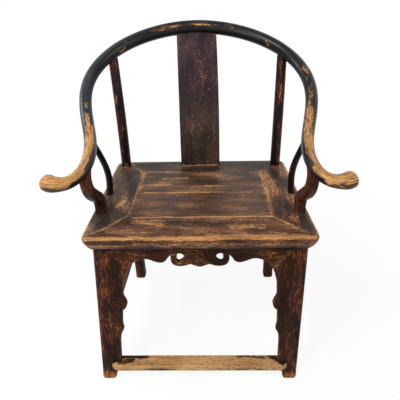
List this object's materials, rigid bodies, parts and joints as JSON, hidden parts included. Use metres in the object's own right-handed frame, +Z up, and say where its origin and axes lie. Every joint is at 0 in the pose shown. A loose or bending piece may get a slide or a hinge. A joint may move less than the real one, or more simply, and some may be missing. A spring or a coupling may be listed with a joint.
{
  "type": "horseshoe back armchair",
  "caption": "Lacquered elm armchair with a sweeping round crest rail, S-curved splat, mitred plank seat, cusped apron and low footrest.",
  "frame": {"origin": "on the floor, under the middle of the chair's whole length and width", "axes": "+Z up, -Y the front that the sitter faces, +X the sitter's left"},
  "size_m": [0.7106, 0.6405, 0.9955],
  "materials": {
    "crest_lacquer": "black lacquer worn to honey-brown elm along the arms",
    "splat_lacquer": "dark lacquer with reddish worn patches",
    "upright_lacquer": "near-black lacquer, red-brown where handled",
    "seat_lacquer": "dark brown lacquer rubbed thin by sitting",
    "leg_lacquer": "very dark brown lacquer, semi-matt",
    "apron_lacquer": "very dark brown lacquer, semi-matt",
    "worn_elm": "bare elm, pale where feet have rubbed off the lacquer",
    "bare_elm": "bare elm, unfinished"
  },
  "bodies": {
    "root": {"crest_rail_centre": "crest_lacquer", "crest_rail_left": "crest_lacquer", "crest_rail_right": "crest_lacquer", "crest_wedge_left": "crest_lacquer", "crest_wedge_right": "crest_lacquer", "footrest": "worn_elm", "frame_peg_front_left": "bare_elm", "frame_peg_front_right": "bare_elm", "frame_peg_rear_left": "bare_elm", "frame_peg_rear_right": "bare_elm", "front_apron_left": "apron_lacquer", "front_apron_right": "apron_lacquer", "front_apron_top": "apron_lacquer", "front_leg_left": "leg_lacquer", "front_leg_right": "leg_lacquer", "gooseneck_left": "upright_lacquer", "gooseneck_right": "upright_lacquer", "rear_apron": "apron_lacquer", "rear_leg_left": "leg_lacquer", "rear_leg_right": "leg_lacquer", "rear_stretcher": "leg_lacquer", "seat_batten_left": "bare_elm", "seat_batten_right": "bare_elm", "seat_board_front": "seat_lacquer", "seat_board_middle": "seat_lacquer", "seat_board_rear": "seat_lacquer", "seat_front_rail": "seat_lacquer", "seat_left_rail": "seat_lacquer", "seat_rear_rail": "seat_lacquer", "seat_right_rail": "seat_lacquer", "side_apron_left": "apron_lacquer", "side_apron_right": "apron_lacquer", "side_post_left": "upright_lacquer", "side_post_right": "upright_lacquer", "side_stretcher_left": "leg_lacquer", "side_stretcher_right": "leg_lacquer", "splat": "splat_lacquer"}
  },
  "joints": []
}
